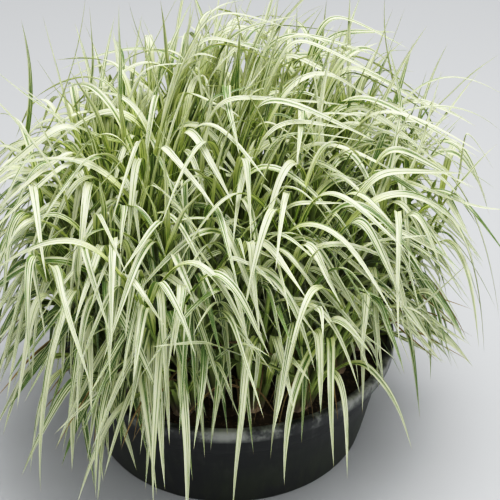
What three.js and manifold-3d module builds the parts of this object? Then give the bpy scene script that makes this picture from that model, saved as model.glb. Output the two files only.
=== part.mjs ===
// Potted variegated reed sweetgrass: a round planting tub, its soil, and tufts of leafy shoots whose
// long strap leaves arch out over the rim on every side, with the youngest standing up as spears.
// Millimetres, +Z up. The origin is the middle of the tub's flat underside, and the front faces -Y.

import * as THREE from 'three';
import { mergeVertices } from 'three/addons/utils/BufferGeometryUtils.js';
import Module from 'manifold-3d';

const wasm = await Module();
wasm.setup();

// Tub
const TUB_SIDES = 32;
const TUB_HEIGHT = 160;
const RIM_RADIUS = 240;
const RIM_BAND = 18;
const RIM_STEP = 8;
const RIM_TOP_WIDTH = 9;
const RIM_ROUNDING = 3;
const BASE_RADIUS = 198;
const BASE_CHAMFER = 4;
const WALL = 3.5;
const FLOOR = 5;

// Soil, which nearly fills the tub
const SOIL_TOP = 136;
const FIT_GAP = 0.3;

// Tufts: each is a crown in a hole of the soil, with shoots that carry the leaves
const TUFT_COUNT = 36;
const PLANTED_RADIUS = 196;
const GOLDEN_ANGLE = Math.PI * (3 - Math.sqrt(5));
const CROWN_SIDES = 6;
const CROWN_RADIUS = 16;
const CROWN_DEPTH = 46;
const CROWN_RISE = 4;
const SHOOTS_PER_TUFT = 2;
const SHOOT_OFFSET = 6.5;

// Culms: stems wrapped in leaf sheaths, upright in the middle and leaning out at the edge
const CULM_SIDES = 5;
const CULM_RADIUS = 4.4;
const CULM_TIP_RADIUS = 2.6;
const CULM_POINT = 9;
const CULM_SINK = 5;
const CULM_HEIGHT_MIDDLE = 296;
const CULM_HEIGHT_EDGE = 256;
const CULM_HEIGHT_SPREAD = 0.1;
const CULM_LEAN_MIDDLE = 3;
const CULM_LEAN_EDGE = 16;
const CULM_LEAN_SPREAD = 3;
const CULM_PARTING = 0.13;

// Leaves: strap blades, flat above and keeled below. Lengths in millimetres, angles in degrees.
const LEAF_COUNT = 374;
const LEAVES_MIDDLE = 3;
const LEAVES_EDGE = 6.9;
const LEAF_WIDTH = 12;
const LEAF_KEEL = 1.7;
const LEAF_LENGTH = [250, 370];
const LEAF_RISE = [5, 22];
const LEAF_DROOP_HIGH = [110, 165];
const LEAF_DROOP_LOW = [150, 178];
const LEAF_SWEEP = 28;
const LEAF_TWIST = 45;
const UPWARD_LEG = 0.44;
const TURNING_LEG = 0.15;
const HANGING_LEG = 0.5;
const SPEAR_SHARE = 0.93;
const SPEAR_LENGTH = [150, 230];
const SPEAR_RISE = [2, 9];
const SPEAR_BEND = [4, 30];

// How far the leaves may go, and how close to each other
const REACH = 396;
const LOWEST_TIP = 26;
const HIGHEST_TIP = 655;
const RIM_CLEARANCE = 8;
const LEAF_CLEARANCE = 0.5;
const OUTLINE_ATTEMPTS = 90;
const OUTLINE_SHIFT = 0.4;
const LEAF_ATTEMPTS = 12;
const MOST_ROUNDS = 400;
const SEED = 20417;

const Z_AXIS = new THREE.Vector3(0, 0, 1);
const { degToRad: degrees, lerp } = THREE.MathUtils;

// Seeded random numbers, so that the plant grows the same way each time
let seedState = SEED;
function random() {
  seedState = (seedState + 0x6d2b79f5) | 0;
  let t = Math.imul(seedState ^ (seedState >>> 15), 1 | seedState);
  t = (t + Math.imul(t ^ (t >>> 7), 61 | t)) ^ t;
  return ((t ^ (t >>> 14)) >>> 0) / 4294967296;
}

function between(low, high) {
  return lerp(low, high, random());
}

// Solids

function closedMesh(geometry) {
  geometry.deleteAttribute('normal');
  geometry.deleteAttribute('uv');
  const merged = mergeVertices(geometry, 1e-3);
  const source = merged.index.array;
  const faces = [];
  for (let i = 0; i < source.length; i += 3) {
    const [a, b, c] = source.slice(i, i + 3);
    if (a !== b && b !== c && c !== a) faces.push(a, b, c);
  }
  merged.setIndex(faces);
  return merged;
}

function toSolid(geometry) {
  const mesh = new wasm.Mesh({
    numProp: 3,
    vertProperties: Float32Array.from(geometry.attributes.position.array),
    triVerts: Uint32Array.from(geometry.index.array),
  });
  return new wasm.Manifold(mesh);
}

function fromSolid(solid) {
  const { vertProperties, triVerts } = solid.getMesh();
  const geometry = new THREE.BufferGeometry();
  geometry.setAttribute('position', new THREE.BufferAttribute(vertProperties, 3));
  geometry.setIndex(new THREE.BufferAttribute(triVerts, 1));
  return geometry;
}

// A profile of [radius, height] pairs turned about +Z, listed from the bottom of the axis outwards
function turned(profile, sides) {
  const points = profile.map(([radius, height]) => new THREE.Vector2(radius, height));
  const geometry = new THREE.LatheGeometry(points, sides).rotateX(Math.PI / 2);
  return closedMesh(geometry);
}

// Two triangles over the corners a, b, c and d, folded outwards along the right diagonal, so that a
// twisted stretch of a thin blade never dips through its other side
function outwardFold(points, a, b, c, d) {
  const [ab, ac, ad] = [b, c, d].map((corner) => points[corner].clone().sub(points[a]));
  const dips = ad.dot(new THREE.Vector3().crossVectors(ab, ac)) > 0;
  return dips ? [a, b, d, b, c, d] : [a, b, c, a, c, d];
}

// A skin over rings of equal length, which narrows to a point at `tip`
function pointedTube(rings, tip) {
  const sides = rings[0].length;
  const points = [...rings.flat(), tip];
  const faces = [];
  for (let side = 2; side < sides; side += 1) faces.push(0, side, side - 1);
  for (let ring = 0; ring + 1 < rings.length; ring += 1) {
    for (let side = 0; side < sides; side += 1) {
      const a = ring * sides + side;
      const b = ring * sides + ((side + 1) % sides);
      faces.push(...outwardFold(points, a, b, b + sides, a + sides));
    }
  }
  const last = (rings.length - 1) * sides;
  for (let side = 0; side < sides; side += 1) {
    faces.push(last + side, last + ((side + 1) % sides), points.length - 1);
  }
  const geometry = new THREE.BufferGeometry().setFromPoints(points);
  geometry.setIndex(faces);
  return geometry;
}

// Tub and soil

function tubWallRadius(height) {
  return lerp(BASE_RADIUS, RIM_RADIUS - RIM_STEP, height / TUB_HEIGHT);
}

function makeTub() {
  const bandFoot = TUB_HEIGHT - RIM_BAND;
  const lipFoot = TUB_HEIGHT - 2 * RIM_ROUNDING;
  return turned([
    [0, 0],
    [BASE_RADIUS - BASE_CHAMFER, 0],
    [BASE_RADIUS, BASE_CHAMFER],
    [tubWallRadius(bandFoot), bandFoot],
    [RIM_RADIUS - RIM_ROUNDING / 2, bandFoot],
    [RIM_RADIUS, bandFoot + RIM_ROUNDING],
    [RIM_RADIUS, TUB_HEIGHT - RIM_ROUNDING],
    [RIM_RADIUS - RIM_ROUNDING, TUB_HEIGHT],
    [RIM_RADIUS - RIM_TOP_WIDTH, TUB_HEIGHT],
    [tubWallRadius(lipFoot) - WALL, lipFoot],
    [tubWallRadius(FLOOR) - WALL, FLOOR],
    [0, FLOOR],
  ], TUB_SIDES);
}

function makeSoil(crownFeet) {
  const clear = WALL + 2 * FIT_GAP;
  const bottom = FLOOR + FIT_GAP;
  let soil = toSolid(turned([
    [0, bottom],
    [tubWallRadius(FLOOR) - clear, bottom],
    [tubWallRadius(SOIL_TOP) - clear, SOIL_TOP],
    [0, SOIL_TOP],
  ], TUB_SIDES));
  const hole = turned([
    [0, SOIL_TOP - CROWN_DEPTH - FIT_GAP],
    [CROWN_RADIUS + 2 * FIT_GAP, SOIL_TOP - CROWN_DEPTH - FIT_GAP],
    [CROWN_RADIUS + 2 * FIT_GAP, SOIL_TOP + CROWN_RISE],
    [0, SOIL_TOP + CROWN_RISE],
  ], CROWN_SIDES);
  for (const foot of crownFeet) {
    soil = soil.subtract(toSolid(hole.clone().translate(foot.x, foot.y, 0)));
  }
  return fromSolid(soil);
}

function makeCrown(foot) {
  return turned([
    [0, SOIL_TOP - CROWN_DEPTH],
    [CROWN_RADIUS, SOIL_TOP - CROWN_DEPTH],
    [CROWN_RADIUS, SOIL_TOP + CROWN_RISE],
    [0, SOIL_TOP + CROWN_RISE],
  ], CROWN_SIDES).translate(foot.x, foot.y, 0);
}

// Shoots

function leaning(angleFromVertical, bearing) {
  const out = Math.sin(angleFromVertical);
  return new THREE.Vector3(
    out * Math.cos(bearing), out * Math.sin(bearing), Math.cos(angleFromVertical));
}

function makeShoot(foot, tuft, index) {
  const spread = index * Math.PI * 2 / SHOOTS_PER_TUFT + tuft.turn;
  const base = new THREE.Vector3(
    foot.x + SHOOT_OFFSET * Math.cos(spread), foot.y + SHOOT_OFFSET * Math.sin(spread),
    SOIL_TOP + CROWN_RISE);
  const edge = Math.hypot(foot.x, foot.y) / PLANTED_RADIUS;
  const lean = degrees(
    lerp(CULM_LEAN_MIDDLE, CULM_LEAN_EDGE, edge) + CULM_LEAN_SPREAD * between(-1, 1));
  const outward = Math.atan2(base.y, base.x);
  const direction = leaning(lean, outward);
  direction.x += CULM_PARTING * Math.cos(spread);
  direction.y += CULM_PARTING * Math.sin(spread);
  direction.normalize();
  const height = lerp(CULM_HEIGHT_MIDDLE, CULM_HEIGHT_EDGE, edge * edge)
    * (1 + CULM_HEIGHT_SPREAD * between(-1, 1));
  return { tuft, base, direction, outward, edge, height, leaves: [] };
}

function culmPoint(shoot, height) {
  return shoot.base.clone().addScaledVector(shoot.direction, height);
}

function makeCulm(shoot) {
  const across = new THREE.Vector3().crossVectors(shoot.direction, Z_AXIS).normalize();
  const along = new THREE.Vector3().crossVectors(shoot.direction, across);
  const ring = (height, radius) => Array.from({ length: CULM_SIDES }, (_, side) => {
    const turn = side * Math.PI * 2 / CULM_SIDES;
    return culmPoint(shoot, height)
      .addScaledVector(across, radius * Math.cos(turn))
      .addScaledVector(along, radius * Math.sin(turn));
  });
  return pointedTube(
    [ring(-CULM_SINK, CULM_RADIUS), ring(shoot.height, CULM_TIP_RADIUS)],
    culmPoint(shoot, shoot.height + CULM_POINT));
}

// Leaves: a leaf is a curve from inside its culm to its tip, a width and a twist

const LONG_STATIONS = [0.14, 0.36, 0.58, 0.8];
const ARCHING_STATIONS = [0.18, 0.47, 0.76];
const SPEAR_STATIONS = [0.3, 0.68];
const ROOT_SCALE = 0.2;

function leafWidth(leaf, share) {
  const opening = Math.min(1, 0.3 + 2.4 * share);
  return leaf.width * opening * (1 - share ** 3.2);
}

// Each ring is the two edges and the keel. The ring in the culm is a smaller copy of the next one,
// so the first stretch has flat faces.
function makeLeaf(leaf) {
  const rings = leaf.stations.map((share) => {
    const middle = leaf.curve.getPoint(share);
    const tangent = leaf.curve.getTangent(share);
    const side = new THREE.Vector3(-Math.sin(leaf.bearing), Math.cos(leaf.bearing), 0);
    side.addScaledVector(tangent, -side.dot(tangent)).normalize();
    side.applyAxisAngle(tangent, leaf.twist * share);
    const face = new THREE.Vector3().crossVectors(tangent, side);
    const half = leafWidth(leaf, share) / 2;
    const keel = LEAF_KEEL * lerp(1.1, 0.7, share);
    return [
      middle.clone().addScaledVector(side, -half),
      middle.clone().addScaledVector(face, -keel),
      middle.clone().addScaledVector(side, half),
    ];
  });
  const root = leaf.curve.getPoint(0);
  const first = leaf.curve.getPoint(leaf.stations[0]);
  const inCulm = rings[0].map((point) => (
    point.clone().sub(first).multiplyScalar(ROOT_SCALE).add(root)));
  return pointedTube([inCulm, ...rings], leaf.curve.getPoint(1));
}

// Four control points: up out of the culm at `rise` from vertical, a tight turn over, and down at
// `droop`, like the crook of a cane
function archedCurve(root, bearing, length, { rise, droop, sweep }) {
  const knee = root.clone().addScaledVector(leaning(rise, bearing), length * UPWARD_LEG);
  const over = knee.clone().addScaledVector(
    leaning(lerp(rise, droop, 0.5), bearing), length * TURNING_LEG);
  const tip = over.clone().addScaledVector(
    leaning(droop, bearing + sweep), length * HANGING_LEG);
  return new THREE.CubicBezierCurve3(root, knee, over, tip);
}

// Clearance: beads along every leaf and culm, kept in a coarse grid, none closer than their radii

const BEAD_STEP = 6;
const BEAD_CELL = 15;
const OWN_CULM_ZONE = 30;
const beadGrid = new Map();

function cellKey(x, y, z) {
  return (x + 512) * 1048576 + (y + 512) * 1024 + z + 512;
}

function cellOf(point) {
  return [point.x, point.y, point.z].map((value) => Math.floor(value / BEAD_CELL));
}

// The beads follow the straight stretches between a leaf's rings
function leafBeads(leaf) {
  const shares = [0, ...leaf.stations, 1];
  const beads = [];
  let fromCulm = 0;
  for (let ring = 0; ring + 1 < shares.length; ring += 1) {
    const start = leaf.curve.getPoint(shares[ring]);
    const end = leaf.curve.getPoint(shares[ring + 1]);
    const count = Math.ceil(start.distanceTo(end) / BEAD_STEP);
    for (let i = 0; i < count; i += 1) {
      const width = lerp(
        leafWidth(leaf, shares[ring]), leafWidth(leaf, shares[ring + 1]), i / count);
      const point = start.clone().lerp(end, i / count);
      beads.push({
        point, radius: width * 0.46 + LEAF_CLEARANCE, shoot: leaf.shoot,
        fromCulm: fromCulm + point.distanceTo(start),
      });
    }
    fromCulm += start.distanceTo(end);
  }
  beads.push({ point: leaf.curve.getPoint(1), radius: LEAF_CLEARANCE, shoot: leaf.shoot, fromCulm });
  return beads;
}

function culmBeads(shoot) {
  const beads = [];
  for (let height = 0; height <= shoot.height + CULM_POINT; height += BEAD_STEP) {
    beads.push({ point: culmPoint(shoot, height), radius: CULM_RADIUS, shoot, fromCulm: 0 });
  }
  return beads;
}

function touches(bead, other) {
  const own = bead.shoot === other.shoot;
  if (own && (other.fromCulm === 0 ? bead.fromCulm < OWN_CULM_ZONE
    : Math.min(bead.fromCulm, other.fromCulm) < OWN_CULM_ZONE * 0.7)) return false;
  return bead.point.distanceTo(other.point) < bead.radius + other.radius;
}

function isClear(beads) {
  for (const bead of beads) {
    const [x, y, z] = cellOf(bead.point);
    for (let dx = -1; dx <= 1; dx += 1) {
      for (let dy = -1; dy <= 1; dy += 1) {
        for (let dz = -1; dz <= 1; dz += 1) {
          const near = beadGrid.get(cellKey(x + dx, y + dy, z + dz)) ?? [];
          if (near.some((other) => touches(bead, other))) return false;
        }
      }
    }
  }
  return true;
}

function keepBeads(beads) {
  for (const bead of beads) {
    const key = cellKey(...cellOf(bead.point));
    if (!beadGrid.has(key)) beadGrid.set(key, []);
    beadGrid.get(key).push(bead);
  }
}

// No leaf passes through the soil, the tub's rim, the floor or the clump's outer reach
function staysInReach(beads) {
  return beads.every(({ point, radius, fromCulm }) => {
    const out = Math.hypot(point.x, point.y);
    const inTub = out < RIM_RADIUS + RIM_CLEARANCE
      && point.z - radius < TUB_HEIGHT + RIM_CLEARANCE / 2;
    if (inTub && fromCulm > OWN_CULM_ZONE) return false;
    return out < REACH && point.z > LOWEST_TIP && point.z < HIGHEST_TIP;
  });
}

function tryLeaf(leaf) {
  const beads = leafBeads(leaf);
  if (!staysInReach(beads) || !isClear(beads)) return false;
  keepBeads(beads);
  leaf.shoot.leaves.push(leaf);
  return true;
}

// Leaves that give the clump its outline: the foot of the shoot that bears each one, the point that
// its curve is drawn over to, its tip, and its width
const OUTLINE_LEAVES = [
  // tall spears along the back
  { foot: [-150, 40], over: [-186, 52, 520], tip: [-182, 60, 640], width: 12, spear: true },
  { foot: [-170, 80], over: [-250, 84, 510], tip: [-276, 100, 592], width: 8, spear: true },
  { foot: [-130, 0], over: [-240, 4, 480], tip: [-300, 0, 566], width: 9, spear: true },
  { foot: [-130, 120], over: [-176, 136, 510], tip: [-190, 150, 590], width: 8, spear: true },
  { foot: [-90, 140], over: [-124, 150, 510], tip: [-136, 160, 592], width: 7, spear: true },
  { foot: [-60, 130], over: [-84, 146, 520], tip: [-92, 150, 600], width: 8, spear: true },
  { foot: [-20, 140], over: [-40, 150, 530], tip: [-46, 150, 610], width: 8, spear: true },
  { foot: [30, 150], over: [22, 170, 510], tip: [8, 180, 596], width: 8, spear: true },
  { foot: [70, 150], over: [88, 186, 500], tip: [98, 200, 580], width: 7, spear: true },
  { foot: [110, 140], over: [130, 170, 510], tip: [138, 180, 590], width: 8, spear: true },
  { foot: [140, 110], over: [164, 140, 520], tip: [168, 150, 610], width: 9, spear: true },
  { foot: [170, 60], over: [198, 100, 520], tip: [212, 118, 620], width: 9, spear: true },
  { foot: [170, 90], over: [214, 118, 500], tip: [240, 120, 600], width: 8, spear: true },
  { foot: [180, 50], over: [256, 100, 470], tip: [300, 104, 556], width: 7, spear: true },
  { foot: [190, 20], over: [286, 70, 440], tip: [342, 80, 526], width: 7, spear: true },
  // long thin arches at the right
  { foot: [130, 60], over: [150, 110, 640], tip: [176, 104, 520], width: 9 },
  { foot: [150, 20], over: [250, 40, 590], tip: [372, 40, 508], width: 8 },
  { foot: [140, -20], over: [270, 0, 560], tip: [360, -4, 480], width: 8 },
  { foot: [170, -10], over: [280, -20, 545], tip: [352, -30, 436], width: 9 },
  { foot: [150, -60], over: [276, -90, 400], tip: [366, -96, 412], width: 12 },
  { foot: [180, -50], over: [350, -60, 380], tip: [384, -30, 196], width: 12 },
  { foot: [160, -90], over: [326, -120, 400], tip: [348, -124, 204], width: 15 },
  // broad arches at the left and the front
  { foot: [-180, -60], over: [-330, -150, 330], tip: [-316, -216, 132], width: 14 },
  { foot: [-190, 0], over: [-352, 40, 420], tip: [-374, 30, 246], width: 13 },
  { foot: [-130, -140], over: [-226, -300, 330], tip: [-232, -318, 132], width: 13, collar: 0.5 },
  { foot: [-100, -160], over: [-156, -330, 300], tip: [-158, -350, 150], width: 12, collar: 0.3 },
  { foot: [-60, -180], over: [-84, -350, 340], tip: [-86, -372, 152], width: 13, collar: 0.5 },
  { foot: [-30, -190], over: [-40, -360, 290], tip: [-46, -380, 126], width: 14, collar: 0.3 },
  { foot: [10, -190], over: [20, -352, 330], tip: [10, -376, 150], width: 12, collar: 0.4 },
  { foot: [60, -180], over: [70, -344, 310], tip: [72, -370, 190], width: 13, collar: 0.35 },
  { foot: [110, -160], over: [124, -320, 330], tip: [132, -350, 200], width: 12, collar: 0.5 },
];

function growOutlineLeaf(shoots, { foot: [x, y], over, tip, width, collar = 0.88, spear = false }) {
  const away = (shoot) => Math.hypot(shoot.base.x - x, shoot.base.y - y);
  const nearest = [...shoots].sort((one, other) => away(one) - away(other)).slice(0, 5);
  const end = new THREE.Vector3(...tip);
  for (let attempt = 0; attempt < OUTLINE_ATTEMPTS; attempt += 1) {
    const shoot = nearest[attempt % nearest.length];
    const root = culmPoint(shoot, shoot.height * between(collar, collar + 0.12));
    const bearing = Math.atan2(end.y - root.y, end.x - root.x);
    const knee = spear ? root.clone().addScaledVector(shoot.direction, 60)
      : root.clone().addScaledVector(leaning(degrees(between(14, 24)), bearing), 110);
    const shift = attempt * OUTLINE_SHIFT;
    const bend = new THREE.Vector3(...over)
      .add(new THREE.Vector3(between(-shift, shift), between(-shift, shift), 0));
    const leaf = {
      shoot,
      curve: new THREE.CubicBezierCurve3(root, knee, bend, end),
      width,
      bearing,
      twist: 0,
      stations: spear ? SPEAR_STATIONS : LONG_STATIONS,
    };
    if (tryLeaf(leaf)) return true;
  }
  return false;
}

// The rest of the leaves: `share` is 0 for a shoot's lowest leaf and 1 for its youngest, a spear.
// Lower leaves spring from nearer the foot and hang further down, most of all at the clump's edge.
function growLeaf(shoot, share) {
  const spear = share > SPEAR_SHARE;
  const low = (1 - share) * shoot.edge;
  const swing = degrees(lerp(180, lerp(95, 75, low), shoot.edge) * between(-1, 1));
  const bearing = shoot.outward + swing;
  const lowestCollar = lerp(0.45, 0.14, shoot.edge);
  const root = culmPoint(shoot, shoot.height * lerp(lowestCollar, 0.96, share));
  const lean = Math.acos(shoot.direction.z);
  const rise = spear ? lean * between(0.5, 1) + degrees(between(...SPEAR_RISE))
    : lean * 0.5 + degrees(between(...LEAF_RISE));
  const droop = spear ? rise + degrees(between(...SPEAR_BEND))
    : degrees(lerp(between(...LEAF_DROOP_HIGH), between(...LEAF_DROOP_LOW), low));
  const length = between(...(spear ? SPEAR_LENGTH : LEAF_LENGTH));
  const sweep = degrees(LEAF_SWEEP * between(-1, 1));
  return tryLeaf({
    shoot,
    bearing,
    curve: archedCurve(root, bearing, length, { rise, droop, sweep }),
    width: LEAF_WIDTH * (spear ? between(0.5, 0.75) : between(0.8, 1.2)),
    twist: degrees(LEAF_TWIST * between(-1, 1)),
    stations: spear ? SPEAR_STATIONS : ARCHING_STATIONS,
  });
}

// Rounds over all the shoots, one leaf each, until the plant has its leaves. The first round grows
// each shoot's youngest leaf, and later ones favour low leaves at the edge.
function growAllLeaves(shoots) {
  let grown = OUTLINE_LEAVES.filter((leaf) => growOutlineLeaf(shoots, leaf)).length;
  for (let round = 0; grown < LEAF_COUNT && round < MOST_ROUNDS; round += 1) {
    for (const shoot of shoots) {
      const wanted = lerp(LEAVES_MIDDLE, LEAVES_EDGE, shoot.edge) + 2 * round / MOST_ROUNDS;
      if (grown >= LEAF_COUNT || shoot.leaves.length >= wanted) continue;
      const share = round === 0 ? between(0.78, 1)
        : SPEAR_SHARE * random() ** lerp(1, 2.5, shoot.edge);
      for (let attempt = 0; attempt < LEAF_ATTEMPTS; attempt += 1) {
        if (growLeaf(shoot, share)) {
          grown += 1;
          break;
        }
      }
    }
  }
}

// The whole plant

const crownFeet = Array.from({ length: TUFT_COUNT }, (_, index) => {
  const radius = PLANTED_RADIUS * Math.sqrt((index + 0.5) / TUFT_COUNT);
  return new THREE.Vector2(
    radius * Math.cos(index * GOLDEN_ANGLE), radius * Math.sin(index * GOLDEN_ANGLE));
});

const tufts = crownFeet.map((foot, index) => {
  const tuft = { foot, index, turn: index * GOLDEN_ANGLE };
  tuft.shoots = Array.from(
    { length: SHOOTS_PER_TUFT }, (_, shoot) => makeShoot(foot, tuft, shoot));
  return tuft;
});
const shoots = tufts.flatMap((tuft) => tuft.shoots);
shoots.forEach((shoot) => keepBeads(culmBeads(shoot)));
growAllLeaves(shoots);

function makeTuft(tuft) {
  let solid = toSolid(makeCrown(tuft.foot));
  for (const shoot of tuft.shoots) {
    solid = solid.add(toSolid(makeCulm(shoot)));
    for (const leaf of shoot.leaves) solid = solid.add(toSolid(makeLeaf(leaf)));
  }
  return fromSolid(solid);
}

const tubPlastic = new THREE.MeshStandardMaterial({ color: 0x1c1e1f, roughness: 0.55 });
const wetSoil = new THREE.MeshStandardMaterial({ color: 0x33291f, roughness: 0.95 });
const leafGreen = new THREE.MeshStandardMaterial({ color: 0xc3cf9b, roughness: 0.5 });

const plant = new THREE.Group();

function addPart(name, geometry, material) {
  geometry.computeVertexNormals();
  const mesh = new THREE.Mesh(geometry, material);
  mesh.name = name;
  plant.add(mesh);
}

addPart('tub', makeTub(), tubPlastic);
addPart('soil', makeSoil(crownFeet), wetSoil);
for (const tuft of tufts) {
  addPart(`tuft_${String(tuft.index + 1).padStart(2, '0')}`, makeTuft(tuft), leafGreen);
}

export default plant;
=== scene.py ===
import math

import bpy
import numpy as np
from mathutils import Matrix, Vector


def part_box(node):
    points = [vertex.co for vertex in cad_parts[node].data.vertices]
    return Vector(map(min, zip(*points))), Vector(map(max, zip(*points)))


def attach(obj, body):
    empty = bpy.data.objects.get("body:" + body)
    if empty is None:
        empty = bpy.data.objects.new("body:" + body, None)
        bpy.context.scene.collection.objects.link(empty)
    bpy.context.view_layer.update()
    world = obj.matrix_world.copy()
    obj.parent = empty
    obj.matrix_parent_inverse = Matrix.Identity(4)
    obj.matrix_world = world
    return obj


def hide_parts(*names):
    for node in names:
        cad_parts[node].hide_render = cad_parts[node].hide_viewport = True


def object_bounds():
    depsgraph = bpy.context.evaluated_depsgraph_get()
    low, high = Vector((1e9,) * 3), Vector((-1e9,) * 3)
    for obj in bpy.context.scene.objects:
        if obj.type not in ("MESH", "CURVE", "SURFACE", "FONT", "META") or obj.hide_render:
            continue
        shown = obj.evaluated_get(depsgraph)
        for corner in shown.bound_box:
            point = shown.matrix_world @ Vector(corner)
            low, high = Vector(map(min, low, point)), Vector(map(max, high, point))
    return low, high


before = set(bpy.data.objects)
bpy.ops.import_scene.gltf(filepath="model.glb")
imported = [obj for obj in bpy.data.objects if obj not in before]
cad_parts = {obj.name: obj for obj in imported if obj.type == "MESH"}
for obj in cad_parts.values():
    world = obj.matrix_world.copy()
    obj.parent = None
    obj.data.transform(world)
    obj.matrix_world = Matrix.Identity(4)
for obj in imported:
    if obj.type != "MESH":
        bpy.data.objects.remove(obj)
cad_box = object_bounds()

# The tub: one injection-moulded pond planting tub of black polypropylene, with a rolled rim that
# turns down outside into a skirt, a moulded bead round the wall and a fine grain on its faces.
# It has stood in water, which left a dull green film low on the wall, and its rim wears pale patches of
# painted highlight.
TUB_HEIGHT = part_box("tub")[1].z
RIM_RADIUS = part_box("tub")[1].x
RIM_SKIRT = 0.018
RIM_STEP = 0.008
RIM_UNDERSIDE = 0.1535
BASE_RADIUS = 0.198
BASE_ROUNDING = 0.004
FOOT_RING = 0.018
FOOT_RING_INSIDE = 0.022
UNDERSIDE_RISE = 0.002
WALL = 0.0035
FLOOR_THICKNESS = 0.005
LIP_ROUNDING = 0.0042
SKIRT_WALL = 0.0026
SKIRT_EDGE = 0.0008
BEAD_HEIGHT = 0.112
BEAD_PROUD = 0.0011
BEAD_REACH = 0.006
TUB_SIDES = 160
BLACK_PLASTIC = (0.020, 0.022, 0.023, 1)
WORN_PLASTIC = (0.060, 0.062, 0.060, 1)
# A pale grey painted on the rim as its highlight
PAINTED_RIM_HIGHLIGHT = (0.36, 0.37, 0.34, 1)
GREEN_FILM = (0.040, 0.052, 0.026, 1)


class Wire:
    """A socket of a node tree. Sums, differences and products on it add Math nodes."""

    def __init__(self, tree, socket=None):
        self.tree = tree
        self.socket = socket

    def node(self, kind, settings=None, sockets=None, output=0):
        """Adds a node: its settings first, then the values or the wires of its sockets."""
        made = self.tree.nodes.new("ShaderNode" + kind)
        for name, value in (settings or {}).items():
            setattr(made, name, value)
        for name, value in (sockets or {}).items():
            if isinstance(value, Wire):
                self.tree.links.new(value.socket, made.inputs[name])
            else:
                made.inputs[name].default_value = value
        return Wire(self.tree, made.outputs[output])

    def math(self, operation, *others):
        return self.node("Math", {"operation": operation}, dict(enumerate((self, *others))))

    def __add__(self, other):
        return self.math("ADD", other)

    def __sub__(self, other):
        return self.math("SUBTRACT", other)

    def __rsub__(self, other):
        return self.node("Math", {"operation": "SUBTRACT"}, {0: other, 1: self})

    def __mul__(self, other):
        return self.math("MULTIPLY", other)

    __radd__ = __add__
    __rmul__ = __mul__

    def rises(self, low, high):
        """0 below low and 1 above high, with a soft step between them."""
        ends = {"Value": self, "From Min": low, "From Max": high}
        return self.node("MapRange", {"interpolation_type": "SMOOTHSTEP"}, ends)

    def mix(self, off, on):
        """The colour off where this wire is 0, and on where it is 1. The colours of a Mix node are
        its sockets 6 and 7, and the mixed one is its output 2."""
        return self.node("Mix", {"data_type": "RGBA"}, {0: self, 6: off, 7: on}, 2)

    def noise(self, scale, detail=2.0, roughness=0.5, dimensions="3D"):
        """Noise at the place that this wire carries."""
        sockets = {"Vector": self, "Scale": scale, "Detail": detail, "Roughness": roughness}
        return self.node("TexNoise", {"noise_dimensions": dimensions}, sockets)

    def feeds(self, shader, name):
        self.tree.links.new(self.socket, shader.inputs[name])


def new_finish(name):
    finish = bpy.data.materials.new(name)
    finish.use_nodes = True
    return finish, Wire(finish.node_tree), finish.node_tree.nodes["Principled BSDF"]


def new_piece(name, points, faces, corner_places, finish, crease):
    """A smooth mesh piece whose corners have the places of corner_places on its map."""
    mesh = bpy.data.meshes.new(name)
    mesh.from_pydata(points.tolist(), [], faces)
    mesh.uv_layers.new(name="OFBake").data.foreach_set("uv", np.ravel(corner_places))
    mesh.materials.append(finish)
    mesh.shade_smooth()
    mesh.set_sharp_from_angle(angle=crease)
    piece = bpy.data.objects.new(name, mesh)
    bpy.context.scene.collection.objects.link(piece)
    return piece


def arc(centre, radius, start, stop, steps):
    """Points of a rounded corner on a profile, from angle start to stop in degrees."""
    turns = np.radians(np.linspace(start, stop, steps))
    return [(centre[0] + radius * math.cos(a), centre[1] + radius * math.sin(a)) for a in turns]


def turned(profile, sides):
    """A closed solid turned about +Z from a profile that starts and ends on the axis."""
    rings = profile[1:-1]
    angles = np.linspace(0, 2 * math.pi, sides, endpoint=False)
    circle = np.stack([np.cos(angles), np.sin(angles)], 1)
    points = [np.column_stack([r * circle, np.full(sides, z)]) for r, z in rings]
    points = np.vstack([*points, [[0, 0, profile[0][1]], [0, 0, profile[-1][1]]]])
    steps = np.linalg.norm(np.diff(np.array(profile), axis=0), axis=1)
    along = np.concatenate([[0], np.cumsum(steps)]) / steps.sum()
    first, last = sides * len(rings), sides * len(rings) + 1
    faces, places = [], []
    for side in range(sides):
        after = (side + 1) % sides
        u, v = side / sides, (side + 1) / sides
        faces.append((first, after, side))
        places += [(u, along[0]), (v, along[1]), (u, along[1])]
        for ring in range(len(rings) - 1):
            low, high = ring * sides, (ring + 1) * sides
            faces.append((low + side, low + after, high + after, high + side))
            here, beyond = along[ring + 1], along[ring + 2]
            places += [(u, here), (v, here), (v, beyond), (u, beyond)]
        top = (len(rings) - 1) * sides
        faces.append((last, top + side, top + after))
        places += [(u, 1), (u, along[-2]), (v, along[-2])]
    return points, faces, np.array(places)


def wall_radius(height):
    return BASE_RADIUS + (RIM_RADIUS - RIM_STEP - BASE_RADIUS) * height / TUB_HEIGHT


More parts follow.
